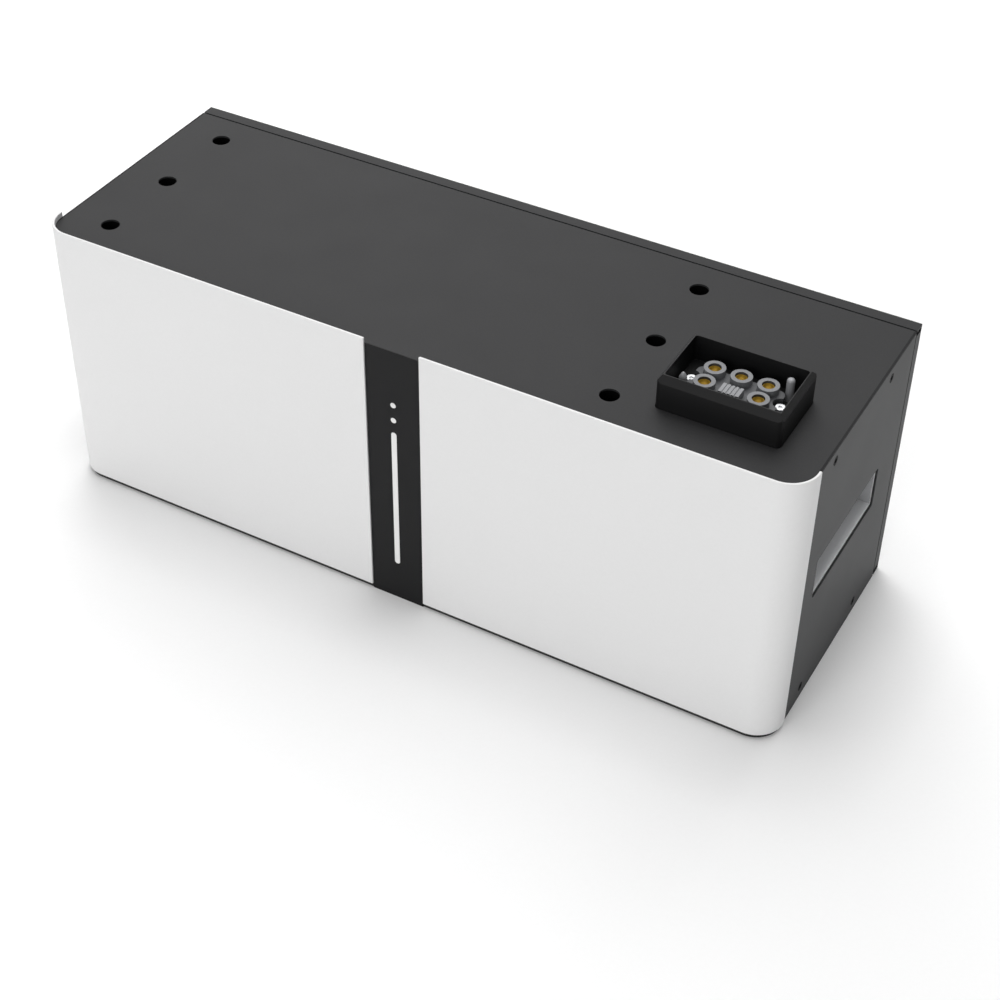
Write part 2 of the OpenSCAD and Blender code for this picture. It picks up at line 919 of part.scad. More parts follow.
module power_contacts() {
    color("#c09a3a")
        at_conn()
            for (p = sockets)
                difference() {
                    union() {
                        rod(p[0], p[1], body_h + contact_drop, body_h + barrel_h - contact_drop, contact_d);
                        rod(p[0], p[1], body_h - tail_len, body_h + contact_drop + cut, tail_d);
                    }
                    rod(
                        p[0], p[1],
                        body_h + barrel_h - contact_drop - dish_h, body_h + barrel_h + cut,
                        dish_d
                    );
                }
}

// Ribbed signal block between the front sockets
module signal_block() {
    ribs = 5;
    pitch = signal_w / ribs;
    slot = 0.9;
    y_mid = -row_pitch / 2 - 0.4;
    color("#a4a5a8")
        at_conn()
            difference() {
                translate([0, y_mid, body_h + deck_h])
                    at_z(0, barrel_h - deck_h)
                        square([signal_w, signal_l], center = true);
                for (i = [1 : ribs - 1])
                    block(
                        i * pitch - (signal_w + slot) / 2, i * pitch - (signal_w - slot) / 2,
                        y_mid - signal_l, y_mid + signal_l,
                        body_h + barrel_h - 3, body_h + barrel_h + cut
                    );
            }
}

module connector_screws() {
    top = body_h + floor_h + ear_t;
    color("#d9dbde")
        at_conn()
            for (s = [-1, 1])
                translate([s * screw_x, 0, 0])
                    difference() {
                        union() {
                            rod(0, 0, top, top + screw_head_h, small_head_d);
                            rod(0, 0, top - small_screw_len, top + screw_head_h / 2, small_screw_d);
                        }
                        translate([0, 0, top + screw_head_h - hex_h])
                            cylinder(d = small_screw_d, h = hex_h + cut, $fn = 6);
                    }
}

// One pointed and one blunt pin, standing on the housing's floor
module guide_pins() {
    tips = [4, 2.2];
    tops = [1.6, 3.4];
    color("#8d8e91")
        at_conn()
            for (i = [0, 1])
                translate([guides[i][0], guides[i][1], body_h]) {
                    rod(0, 0, floor_h, pin_h - tips[i], pin_d);
                    translate([0, 0, pin_h - tips[i]])
                        cylinder(d1 = pin_d, d2 = tops[i], h = tips[i]);
                }
}

// Bottom connector, which takes the housing of the module below

module bottom_shroud() {
    w = dock_w + 2 * shroud_t;
    l = dock_l + 2 * shroud_t;
    r = conn_r + dock_gap;
    color("#1b1c1e")
        at_conn()
            difference() {
                union() {
                    at_z(0, dock_h + shroud_t)
                        round_rect(w, l, r + shroud_t);
                    at_z(sheet_t, sheet_t + 2)
                        round_rect(w + 2 * shroud_flange, l + 2 * shroud_flange, r);
                }
                at_z(-cut, dock_h)
                    round_rect(dock_w, dock_l, r);
                at_z(dock_h - cut, dock_h + shroud_t + cut)
                    round_rect(shank_w, shank_l, shank_r);
                for (p = guides)
                    rod(p[0], p[1], dock_h - cut, dock_h + shroud_t + cut, bush_bore);
            }
}

module bottom_plug() {
    color("#7e7f83")
        at_conn()
            difference() {
                union() {
                    at_z(plug_face, dock_h)
                        round_rect(plug_w, plug_l, deck_r);
                    at_z(plug_face, plug_shank_top)
                        round_rect(shank_w - 2 * shank_gap, shank_l - 2 * shank_gap, shank_r);
                    for (p = guides)
                        rod(p[0], p[1], plug_face - bush_len, dock_h, bush_d);
                }
                for (p = guides)
                    rod(p[0], p[1], 0, dock_h + cut, bush_bore);
                for (p = sockets)
                    rod(p[0], p[1], 0, plug_shank_top + cut, plug_pin_d + screw_gap);
            }
}

module bottom_plug_pins() {
    color("#c09a3a")
        at_conn()
            for (p = sockets) {
                rod(p[0], p[1], plug_face - plug_reach, plug_pin_top, plug_pin_d);
                translate([p[0], p[1], plug_face - plug_reach - plug_tip])
                    cylinder(d1 = plug_pin_d - 2, d2 = plug_pin_d, h = plug_tip);
                rod(p[0], p[1], plug_shank_top, plug_shank_top + 2, plug_pin_d + 3);
            }
}

// Cell pack

module pack_rails() {
    color("#8b8d90")
        for (y = rail_y)
            difference() {
                block(rail_x0, rail_x1, y, y + rail_w, sheet_t, cell_z);
                block(
                    rail_x0 - cut, rail_x1 + cut, y + rail_t, y + rail_w - rail_t,
                    sheet_t - cut, cell_z - rail_t
                );
            }
}

module end_plate(x0) {
    color("#9a9ca0")
        difference() {
            block(x0, x0 + end_plate_t, pack_front, pack_back, cell_z, cell_top);
            for (z = [strap_z[0] - slot_h, (cell_z + cell_top) / 2, strap_z[1] + strap_w + slot_h])
                block(
                    x0 - cut, x0 + end_plate_t + cut,
                    pack_front + slot_edge, pack_back - slot_edge,
                    z - slot_h / 2, z + slot_h / 2
                );
        }
}

module end_plate_left() {
    end_plate(pack_x0);
}

module end_plate_right() {
    end_plate(pack_x1 - end_plate_t);
}

// One prismatic cell: can, two terminals and a vent
module cell(i) {
    x = cells_x0 + (i - 1) * cell_step;
    mid = x + cell_t / 2;
    color("#5d7fa3")
        difference() {
            block(x, x + cell_t, pack_front, pack_back, cell_z, cell_top);
            rod(mid, pack_mid, cell_top - vent_depth, cell_top + cut, vent_d);
        }
    color("#c9cbce")
        for (y = [pack_front + terminal_in, pack_back - terminal_in])
            rod(mid, y, cell_top - cut, busbar_z, terminal_d);
}

module cell_pads() {
    color("#d6d2c4")
        for (i = [0 : CELLS])
            block(
                cells_x0 + i * cell_step - pad_t, cells_x0 + i * cell_step,
                pack_front + 4, pack_back - 4, cell_z, cell_top - 4
            );
}

module pack_straps() {
    color("#a9abae")
        for (z = strap_z)
            difference() {
                block(
                    pack_x0 - strap_t, pack_x1 + strap_t,
                    pack_front - strap_t, pack_back + strap_t, z, z + strap_w
                );
                block(pack_x0, pack_x1, pack_front, pack_back, z - cut, z + strap_w + cut);
            }
}

// Copper bars that join the cells in series, alternately at front and back
module cell_busbars() {
    bridge = cell_step + terminal_d;
    color("#b8704a")
        for (i = [1 : CELLS - 1]) {
            x = cells_x0 + i * cell_step - pad_t / 2;
            y = i % 2 == 1 ? pack_front + terminal_in : pack_back - terminal_in;
            block(
                x - bridge / 2, x + bridge / 2, y - busbar_w / 2, y + busbar_w / 2,
                busbar_z, busbar_z + busbar_t
            );
        }
}

module sense_board() {
    x0 = cells_x0 + cell_t;
    x1 = cells_x0 + (CELLS - 1) * cell_step;
    y = pack_front + terminal_in + sense_in;
    mid = y + sense_l / 2;
    top = busbar_top + board_t;
    color("#2f6b46")
        block(x0, x1, y, y + sense_l, busbar_top, top);
    color("#202124") {
        for (x = [x0 + chip_in, x1 - chip_in])
            block(
                x - chip_w / 2, x + chip_w / 2, mid - chip_w / 2, mid + chip_w / 2,
                top - board_t / 2, top + chip_h
            );
        block(
            x1 - plug_in - header_d, x1 - plug_in, mid - header_w / 2, mid + header_w / 2,
            top - board_t / 2, top + header_h
        );
    }
}

// Electronics

module bms_bracket() {
    y = bms_y + standoff + board_t;
    color("#8b8d90") {
        block(bms_x0, bms_x1, y, y + bracket_t, sheet_t, bms_z1);
        block(bms_x0, bms_x1, y - foot_l, y + bracket_t / 2, sheet_t, sheet_t + bracket_t);
        for (x = [bms_x0 + post_in, bms_x1 - post_in], z = [bms_z0 + post_in, bms_z1 - post_in])
            rod_y(x, z, bms_y + board_t, y + bracket_t / 2, standoff_d);
    }
}

module bms_board() {
    mid_z = (bms_z0 + bms_z1) / 2;
    color("#2f6b46")
        block(bms_x0, bms_x1, bms_y, bms_y + board_t, bms_z0, bms_z1);
    color("#202124") {
        block(
            bms_x0 + chip_in - chip_w, bms_x0 + chip_in + chip_w / 2,
            bms_y - chip_h, bms_y + board_t / 2, mid_z, mid_z + 1.5 * chip_w
        );
        for (i = [0 : 3])
            rod_y(
                bms_x0 + cap_in + i * cap_pitch, bms_z1 - chip_in,
                bms_y - cap_h, bms_y + board_t / 2, cap_d
            );
        for (i = [0 : 4])
            block(
                bms_x0 + switch_in + i * switch_pitch - switch_w / 2,
                bms_x0 + switch_in + i * switch_pitch + switch_w / 2,
                bms_y - switch_t, bms_y + board_t / 2,
                bms_z0 + cap_pitch, bms_z0 + cap_pitch + switch_l
            );
    }
    color("#e8e4d4")
        for (z = [mid_z - 2 * header_w, mid_z])
            block(
                bms_x1 - plug_in - 3 * header_d, bms_x1 - plug_in,
                bms_y - header_h, bms_y + board_t / 2, z, z + header_w
            );
}

// Two sealed contactors that stand on the base tray
module contactors() {
    for (x = contactor_x) {
        color("#26282b") {
            block(
                x - contactor_w / 2, x + contactor_w / 2, contactor_y, contactor_y + contactor_l,
                sheet_t, sheet_t + contactor_h
            );
            block(
                x - contactor_w / 2 + foot_in, x + contactor_w / 2 - foot_in,
                contactor_y - contactor_foot, contactor_y + contactor_l + contactor_foot,
                sheet_t, sheet_t + foot_h
            );
        }
        color("#b8704a")
            for (y = [front_studs, rear_studs])
                rod(x, y, sheet_t + contactor_h - cut, stud_z, stud_d);
    }
}

// Ceramic fuse with copper end caps, in a moulded holder
module main_fuse() {
    color("#26282b")
        block(fuse_x0 - 3, fuse_x1 + 3, fuse_y - fuse_half, fuse_y + fuse_half, sheet_t, fuse_z);
    color("#d8d5cb")
        rod_x(fuse_y, fuse_z + fuse_d / 2 - 0.5, fuse_x0 + 2, fuse_x1 - 2, fuse_d - 2);
    color("#b8704a")
        for (x = [fuse_x0, fuse_x1 - fuse_cap])
            block(x, x + fuse_cap, fuse_y - 8, fuse_y + 8, fuse_z - 1, fuse_z + fuse_d);
}

// Outline of a bar bent twice: level at z0, along x1 to z1, level to x2
module bent_bar(x0, z0, x1, z1, x2) {
    level_bar(x0, x1, z0);
    upright_bar(x1, min(z0, z1), max(z0, z1));
    level_bar(x1, x2, z1);
}

module level_bar(x0, x1, z) {
    translate([min(x0, x1), z]) square([abs(x1 - x0) + link_t, link_t]);
}

module upright_bar(x, z0, z1) {
    translate([x, z0]) square([link_t, z1 - z0 + link_t]);
}

// Flat copper links: pack to fuse and contactors, and on to both connectors
module power_links() {
    free_y = pack_back - terminal_in;
    first_x = cells_x0 + cell_t / 2;
    last_x = first_x + (CELLS - 1) * cell_step;
    pad = arm_w / 2;
    minus_z = stud_z + 8;
    top_z = body_h - tail_len - link_t;
    rear_row = conn_y + row_pitch / 2;
    front_row = conn_y - row_pitch / 2;
    color("#b8704a") {
        along_y(free_y - link_w / 2, free_y + link_w / 2)
            bent_bar(last_x - pad, busbar_z, link_x, fuse_top, fuse_x0 + fuse_cap - link_t);
        along_x(contactor_x[0] - pad, contactor_x[0] + pad)
            bent_bar(
                fuse_y + pad, fuse_top,
                contactor_y + contactor_l + pad, stud_z, rear_studs - pad
            );
        block(
            first_x - pad, first_x + pad, rear_studs, free_y + pad,
            busbar_z, busbar_z + link_t
        );
        along_y(rear_studs - pad, rear_studs + pad) {
            bent_bar(first_x - pad, busbar_z, link_x, minus_z, contactor_x[1] - arm_w);
            upright_bar(contactor_x[1] - arm_w, stud_z, minus_z);
            level_bar(contactor_x[1] - arm_w, contactor_x[1] + pad, stud_z);
        }
        for (x = contactor_x) {
            along_x(x - pad, x + pad) {
                upright_bar(riser_y, plug_pin_top, top_z);
                level_bar(rear_row - pad, riser_y, plug_pin_top);
                level_bar(rear_row - pad, riser_y, top_z);
                level_bar(riser_y, front_studs + pad, stud_z);
            }
            through_bar(x, front_row);
        }
        through_bar(conn_x, rear_row);
    }
}

// Bar from a bottom pin straight up to the contact above it
module through_bar(x, y) {
    block(
        x - contact_d / 2, x + contact_d / 2, y - link_t / 2, y + link_t / 2,
        plug_pin_top, body_h - tail_len
    );
}

base_tray();
top_panel();
side_panel_left();
side_panel_right();
rear_cover();
front_panel();
front_cover_left();
front_cover_right();
indicator_strip();
light_bar_lens();
status_lenses();
led_board();
handle_pocket_left();
handle_pocket_right();
side_screws();
rear_screws();
top_locating_cups();
bottom_locating_cups();
connector_housing();
connector_insert();
power_contacts();
signal_block();
connector_screws();
guide_pins();
bottom_shroud();
bottom_plug();
bottom_plug_pins();
pack_rails();
end_plate_left();
end_plate_right();
cell_pads();
pack_straps();
cell_busbars();
sense_board();
bms_bracket();
bms_board();
contactors();
main_fuse();
power_links();
for (i = [1 : CELLS])
    cell(i);
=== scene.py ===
"""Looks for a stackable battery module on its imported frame.

A powder-coated steel case carries two white front covers, a dark strip with a
light bar and two dots, a hand pocket in each end, and a blind-mate connector
on top that enters the module stacked above. Sizes whose names end in _mm are
in millimetres, in the frame of the CAD model; Blender's own are in metres.
"""

from __future__ import annotations

import logging
import math
from collections.abc import Callable
from dataclasses import dataclass
from enum import Enum

import bpy
from mathutils import Matrix, Vector


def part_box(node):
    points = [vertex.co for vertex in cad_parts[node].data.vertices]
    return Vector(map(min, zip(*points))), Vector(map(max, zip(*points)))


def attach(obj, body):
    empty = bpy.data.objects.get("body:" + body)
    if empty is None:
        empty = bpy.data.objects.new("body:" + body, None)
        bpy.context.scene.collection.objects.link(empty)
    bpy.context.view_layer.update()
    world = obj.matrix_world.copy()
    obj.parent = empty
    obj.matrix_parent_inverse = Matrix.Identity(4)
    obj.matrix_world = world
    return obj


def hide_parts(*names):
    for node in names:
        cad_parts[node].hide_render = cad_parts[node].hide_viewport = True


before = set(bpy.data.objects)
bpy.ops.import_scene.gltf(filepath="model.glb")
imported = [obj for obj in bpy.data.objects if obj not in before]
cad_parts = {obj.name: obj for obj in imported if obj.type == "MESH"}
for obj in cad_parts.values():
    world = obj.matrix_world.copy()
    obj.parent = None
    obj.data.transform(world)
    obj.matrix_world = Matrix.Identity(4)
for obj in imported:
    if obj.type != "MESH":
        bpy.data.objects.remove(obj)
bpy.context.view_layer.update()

LOG = logging.getLogger("battery_module")
MM = 0.001
ROOT = "root"
# Points of a mesh closer than this are merged, and edges flatter than this dissolved.
MERGE_MM = 0.002
FLAT_EDGE = math.radians(0.3)
# Edges that turn by more than this are rounded.
SHARP_EDGE = math.radians(32)
# Faces that meet at less than this are shaded smooth, on pieces and on turned parts.
SMOOTH_FACES = math.radians(40)
SMOOTH_TURNED = math.radians(30)
# How strongly large faces pull the normals of the rounding beside them.
FLAT_WEIGHT = 80
# A point this close to a place counts as on it.
TOUCH_MM = 0.05
# A face whose normal points up by at least this share counts as facing up.
FACING_UP = 0.5


def linear(code: str) -> tuple[float, float, float, float]:
    """Turns an sRGB hex code into a linear colour.

    Args:
        code: Six hex digits, such as "e1e1e1".

    Returns:
        Linear red, green and blue, with full alpha.
    """
    parts = [int(code[i:i + 2], 16) / 255 for i in (0, 2, 4)]
    # The curve of the sRGB standard: straight near black, a power above.
    bent = [c / 12.92 if c <= 0.04045 else ((c + 0.055) / 1.055) ** 2.4 for c in parts]
    return (*bent, 1.0)


class Shader:
    """One material: a Principled surface and the nodes that feed it."""

    def __init__(self, name: str, **sockets: float | tuple) -> None:
        """Makes the material and sets the sockets that are the same all over.

        Args:
            name: The material's name.
            **sockets: Values of the Principled shader, spaces as underscores.
        """
        self.material = bpy.data.materials.new(name)
        self.material.use_nodes = True
        self.tree = self.material.node_tree
        self.surface = self.tree.nodes["Principled BSDF"]
        for socket, value in sockets.items():
            self.surface.inputs[socket.replace("_", " ")].default_value = value
        self.place = self.add("TexCoord").outputs["Object"]

    def add(self, kind: str, sockets: dict | None = None, **settings: object) -> bpy.types.Node:
        """Adds one node with its settings, and feeds its sockets.

        Args:
            kind: The node's type, without the "ShaderNode" in front.
            sockets: Input name or number to a value or to another node's output.
            **settings: Attributes of the node.

        Returns:
            The new node.
        """
        node = self.tree.nodes.new("ShaderNode" + kind)
        for name, value in settings.items():
            setattr(node, name, value)
        self.feed(node, sockets or {})
        return node

    def feed(self, node: bpy.types.Node, sockets: dict) -> None:
        """Sets or links input sockets of a node.

        Args:
            node: The node to feed.
            sockets: Input name or number to a value or to another node's output.
        """
        for name, value in sockets.items():
            if isinstance(value, bpy.types.NodeSocket):
                self.tree.links.new(value, node.inputs[name])
            else:
                node.inputs[name].default_value = value


def around(hue: str, less: float, more: float) -> tuple[tuple, tuple]:
    """Gives a darker and a lighter shade of one colour, for a pattern to mix.

    Args:
        hue: The colour, as six hex digits.
        less: The share that the darker one loses.
        more: The share that the lighter one gains.

    Returns:
        Both shades, linear and with full alpha.
    """
    base = Vector(linear(hue)[:3])
    return (*(base * (1 - less)), 1.0), (*(base * (1 + more)), 1.0)


@dataclass(frozen=True)
class PowderCoat:
    """Polyester powder baked on steel sheet: matte, with a fine orange peel.

    The real grain is about 0.3 mm. It is drawn at 1.1 mm, and at 2.4 mm on the
    white covers, so that it just shows.
    """

    name: str
    slot: str
    hue: str
    speck: float = 0.10
    grain_mm: float = 1.1
    relief_mm: float = 0.05
    cloud_mm: float = 45.0
    roughness: float = 0.52
    spread: float = 0.012
    ior: float = 1.5

    def material(self) -> bpy.types.Material:
        """Builds the node material."""
        coat = Shader(self.name, Metallic=0.0, IOR=self.ior)
        grain = coat.add("TexNoise", {"Vector": coat.place, "Scale": 1 / (self.grain_mm * MM),
                                      "Detail": 2.0, "Roughness": 0.55})
        cloud = coat.add("TexNoise", {"Vector": coat.place, "Scale": 1 / (self.cloud_mm * MM),
                                      "Detail": 3.0})
        dark, light = around(self.hue, 2 * self.speck, 2 * self.speck)
        tint = coat.add("Mix", {0: grain.outputs[0], 6: dark, 7: light}, data_type="RGBA")
        gloss = coat.add("MapRange", {"Value": cloud.outputs[0], "From Min": 0.3, "From Max": 0.7,
                                      "To Min": self.roughness - self.spread,
                                      "To Max": self.roughness + self.spread})
        peel = coat.add("Bump", {"Height": grain.outputs[0], "Strength": 0.5,
                                 "Distance": self.relief_mm * MM})
        coat.feed(coat.surface, {"Base Color": tint.outputs[2], "Roughness": gloss.outputs[0],
                                 "Normal": peel.outputs[0]})
        return coat.material


@dataclass(frozen=True)
class Moulding:
    """Injection-moulded plastic with the eroded grain of its tool.

    The real grain is about 0.15 mm. It is drawn at 0.8 mm so that it shows as a
    light break-up of the gloss. Slow changes of tint stand for the flow marks.
    Film, felt, ceramic and flake coating use the same nodes with other values.
    """

    name: str
    slot: str
    hue: str
    roughness: float = 0.45
    spread: float = 0.06
    grain_mm: float = 0.8
    relief_mm: float = 0.02
    flow_mm: float = 25.0
    speck: float = 0.04
    ior: float = 1.49
    inward_shade_hue: str = ""
    inward_shade_mm: tuple[float, float] = (0.0, 1.0)

    def material(self) -> bpy.types.Material:
        """Builds the node material."""
        plastic = Shader(self.name, Metallic=0.0, IOR=self.ior)
        grain = plastic.add("TexNoise", {"Vector": plastic.place, "Detail": 2.0,
                                         "Scale": 1 / (self.grain_mm * MM)})
        flow = plastic.add("TexNoise", {"Vector": plastic.place,
                                        "Scale": 1 / (self.flow_mm * MM)})
        dark, light = around(self.hue, self.speck, self.speck)
        tint = plastic.add("Mix", {0: flow.outputs[0], 6: dark, 7: light}, data_type="RGBA")
        gloss = plastic.add("MapRange", {"Value": grain.outputs[0],
                                         "To Min": self.roughness - self.spread,
                                         "To Max": self.roughness + self.spread})
        bump = plastic.add("Bump", {"Height": grain.outputs[0], "Strength": 0.4,
                                    "Distance": self.relief_mm * MM})
        if self.inward_shade_hue:
            tint = self.painted_inward_shade(plastic, tint)
        plastic.feed(plastic.surface, {"Base Color": tint.outputs[2],
                                       "Roughness": gloss.outputs[0], "Normal": bump.outputs[0]})
        return plastic.material

    def painted_inward_shade(self, plastic: Shader, tint: bpy.types.Node) -> bpy.types.Node:
        """Paints shade: lets the colour fall to the shade hue towards the middle of the module.

        Args:
            plastic: The material.
            tint: The Mix node whose colour is seen at the opening.

        Returns:
            The Mix node to use instead.
        """
        parts = plastic.add("SeparateXYZ", {"Vector": plastic.place})
        away = plastic.add("Math", {0: parts.outputs["X"]}, operation="ABSOLUTE")
        shallow = plastic.add("MapRange", {"Value": away.outputs[0],
                                           "From Min": self.inward_shade_mm[0] * MM,
                                           "From Max": self.inward_shade_mm[1] * MM})
        return plastic.add("Mix", {0: shallow.outputs[0], 6: linear(self.inward_shade_hue),
                                   7: tint.outputs[2]}, data_type="RGBA")


@dataclass(frozen=True)
class BareMetal:
    """Rolled, turned or plated metal with fine lines along its grain.

    The real lines are about 0.05 mm apart and are drawn at 0.25 mm so that they
    show. Slow stains give the uneven tone of handled metal. A part that the
    photograph shows duller than clean metal has a thin film, so bare is under 1.
    """

    name: str
    slot: str
    hue: str
    roughness: float = 0.3
    spread: float = 0.1
    line_mm: float = 0.25
    line_depth_mm: float = 0.01
    stretch: tuple[float, float, float] = (0.05, 1.0, 1.0)
    stain_mm: float = 9.0
    wear: float = 0.12
    bare: float = 1.0

    def material(self) -> bpy.types.Material:
        """Builds the node material."""
        metal = Shader(self.name, Metallic=self.bare)
        turn = metal.add("Mapping", {"Vector": metal.place, "Scale": self.stretch})
        lines = metal.add("TexNoise", {"Vector": turn.outputs[0], "Detail": 3.0,
                                       "Scale": 1 / (self.line_mm * MM)})
        stain = metal.add("TexNoise", {"Vector": metal.place, "Scale": 1 / (self.stain_mm * MM),
                                       "Detail": 4.0})
        dark, light = around(self.hue, self.wear, 0.0)
        tint = metal.add("Mix", {0: stain.outputs[0], 6: dark, 7: light}, data_type="RGBA")
        gloss = metal.add("MapRange", {"Value": lines.outputs[0],
                                       "To Min": self.roughness - self.spread,
                                       "To Max": self.roughness + self.spread})
        scratch = metal.add("Bump", {"Height": lines.outputs[0], "Strength": 0.25,
                                     "Distance": self.line_depth_mm * MM})
        metal.feed(metal.surface, {"Base Color": tint.outputs[2], "Roughness": gloss.outputs[0],
                                   "Normal": scratch.outputs[0]})
        return metal.material


@dataclass(frozen=True)
class CircuitBoard:
    """Glass-epoxy board under green solder mask, with the tracks just showing.

    Copper fields of about 6 by 3 mm look darker, and the lines between them light.
    """

    name: str
    slot: str = "board_green"
    hue: str = "1f5a3a"
    other_hue: str = "1a4d32"
    track_hue: str = "3b8a5c"
    field_mm: float = 11.7
    track_share: float = 0.06
    relief_mm: float = 0.03

    def material(self) -> bpy.types.Material:
        """Builds the node material."""
        board = Shader(self.name, Metallic=0.0, Roughness=0.32, IOR=1.5)
        tracks = board.add("TexBrick", {
            "Vector": board.place, "Scale": 1 / (self.field_mm * MM),
            "Mortar Size": self.track_share, "Color1": linear(self.hue),
            "Color2": linear(self.other_hue), "Mortar": linear(self.track_hue)})
        raised = board.add("Bump", {"Height": tracks.outputs["Fac"], "Strength": 0.3,
                                    "Distance": self.relief_mm * MM})
        board.feed(board.surface, {"Base Color": tracks.outputs["Color"],
                                   "Normal": raised.outputs[0]})
        return board.material


class Finish(Enum):
    """The finishes of this module, each named for what it is made of, and some also for the light
    or shade painted into them.
    """

    # Charcoal powder, baked: a dark matte sheet with a broad, weak gloss.
    TOP_COAT = PowderCoat("top_panel_powder_coat", "steel_grey", "262627", roughness=0.65,
                          ior=1.38)
    # The same powder on the upright panels, drawn a shade lighter than on the lid: painted light,
    # for the sheen of the floor that they catch.
    SIDE_COAT = PowderCoat("side_panel_powder_coat", "steel_grey", "303132", roughness=0.6,
                           ior=1.48)
    # The powder on the tray and the inner sheet: near black where little light comes.
    TRAY_COAT = PowderCoat("base_tray_powder_coat", "steel_dark", "202021", roughness=0.6,
                           ior=1.45)
    # Painted shade: a dull dark line along both sides of the top, where the seam to the side
    # panels lies in shade.
    SEAM_SHADE_COAT = PowderCoat("lid_edge_painted_seam_shade", "steel_grey", "1c1c1d", roughness=0.7,
                           ior=1.3)
    # White enamel on the covers: even and satin, so that large faces shade softly.
    COVER_WHITE = PowderCoat("cover_white_enamel", "cover_white", "e1e1e1", speck=0.008,
                             grain_mm=2.4, relief_mm=0.02, roughness=0.42)
    # Smoked polycarbonate, moulded: almost black, with a faint sheen.
    STRIP_BLACK = Moulding("strip_dark_polycarbonate", "strip_black", "08080a", roughness=0.5,
                           ior=1.3)
    # Opal acrylic, moulded: an even milky white, unlit as in the photograph.
    LENS_MILK = Moulding("lens_opal_acrylic", "lens_white", "e6e6e5", roughness=0.35)
    # Light grey ABS, moulded. It is drawn darker with depth, because the
    # photograph's pocket darkens inwards more than this studio's light makes it.
    POCKET_GREY = Moulding("pocket_grey_abs", "pocket_grey", "e6e7e8", roughness=0.45,
                           inward_shade_hue="98999b", inward_shade_mm=(279.0, 299.0))
    # The same ABS on the pocket's rear wall, drawn darker: painted shade, for the shade that the
    # wall lies in.
    POCKET_REAR = Moulding("pocket_rear_wall_painted_shade", "pocket_grey", "a8a9ab", roughness=0.45)
    # Black glass-filled nylon, moulded: deep black, dulled by the fibres near the skin.
    HOUSING_BLACK = Moulding("housing_glass_filled_nylon", "plastic_black", "0d0d0e",
                             roughness=0.5, relief_mm=0.03, ior=1.36)
    # Grey polyester, moulded, the same as the barrels: the insert's floor, drawn darker than its
    # barrels as painted shade in the recess.
    DECK_GREY = Moulding("deck_polyester_painted_shade", "plastic_grey", "444548", roughness=0.45)
    # Mid-grey polyester, moulded: the barrels' rings stand out against the floor.
    BARREL_GREY = Moulding("barrel_grey_polyester", "plastic_grey", "757679", roughness=0.42)
    # Light grey polyester, moulded: pale ribs with thin lines between them.
    SIGNAL_GREY = Moulding("signal_block_grey_polyester", "plastic_light", "8a8b8e",
                           roughness=0.42)
    # Black polypropylene, moulded dull, drawn near pure black: its own colour and partly painted
    # shade, so that the locating holes look bottomless.
    CUP_BLACK = Moulding("locating_cup_black_polypropylene_and_shade", "plastic_black", "020202",
                         roughness=0.9, ior=1.2)
    # Black zinc flake, dipped and baked: small dark discs with no glint.
    SCREW_BLACK = Moulding("screw_black_zinc_flake", "screw_black", "050506", roughness=0.7,
                           ior=1.25)
    # Bright zinc, plated: the two white points of the connector.
    SCREW_ZINC = BareMetal("screw_bright_zinc", "screw_silver", "f2f3f5", roughness=0.5)
    # Steel, turned and bead-blasted: a soft grey pin, lit evenly round its tip.
    PIN_STEEL = BareMetal("guide_pin_blasted_steel", "pin_steel", "9a9b9e", roughness=0.55,
                          stretch=(1.0, 1.0, 0.05), bare=0.25)
    # Hard gold, plated on turned copper: a deep amber dish.
    CONTACT_GOLD = BareMetal("contact_gold_plate", "contact_gold", "896b12", roughness=0.6,
                             stretch=(1.0, 1.0, 0.05), bare=0.6)
    # Copper, rolled: warm, with lines along the bar.
    COPPER = BareMetal("busbar_rolled_copper", "copper", "b8704a", roughness=0.35)
    # Galvanised sheet, rolled: a cool grey with soft streaks.
    ZINC_SHEET = BareMetal("bracket_zinc_sheet", "zinc_steel", "9c9ea1", roughness=0.4)
    # Aluminium, sawn from rolled plate: lighter and a little cooler than the zinc.
    PLATE_ALUMINIUM = BareMetal("end_plate_aluminium", "plate_aluminium", "a9abae",
                                roughness=0.4)
    # Polyester film, shrunk on the cells: blue and glossy, with long shallow waves.
    CELL_FILM = Moulding("cell_blue_film", "cell_film", "3f6fa5", roughness=0.22,
                         relief_mm=0.03, grain_mm=6.0)
    # Aerogel felt, needled: an off-white, dull and fluffy pad.
    PAD_FELT = Moulding("pad_aerogel_felt", "pad_foam", "d8d4c6", roughness=0.85,
                        relief_mm=0.2)
    # Steatite, pressed and fired: a cream body with a slight glaze.
    CERAMIC = Moulding("fuse_ceramic", "plastic_light", "dcd9cf", roughness=0.35)
    # Solder mask over etched copper: green, glossy, with lighter lines.
    BOARD = CircuitBoard("board_green_solder_mask")


_made: dict[Finish, bpy.types.Material] = {}


def finish_of(finish: Finish) -> bpy.types.Material:
    """Gives a finish's material, made the first time that it is asked for.

    Args:
        finish: Which finish.

    Returns:
        Its material.
    """
    if finish not in _made:
        _made[finish] = finish.value.material()
    return _made[finish]


def dress(piece: bpy.types.Object, finish: Finish) -> None:
    """Gives a piece one finish all over.

    Args:
        piece: The piece or CAD node.
        finish: Its finish.
    """
    piece.data.materials.clear()
    piece.data.materials.append(finish_of(finish))


def take(piece: bpy.types.Object) -> None:
    """Makes one object the only one selected, and active.

    Args:
        piece: The object to work on.
    """
    if bpy.context.object and bpy.context.object.mode == "EDIT":
        bpy.ops.object.mode_set(mode="OBJECT")
    bpy.ops.object.select_all(action="DESELECT")
    piece.select_set(True)
    bpy.context.view_layer.objects.active = piece


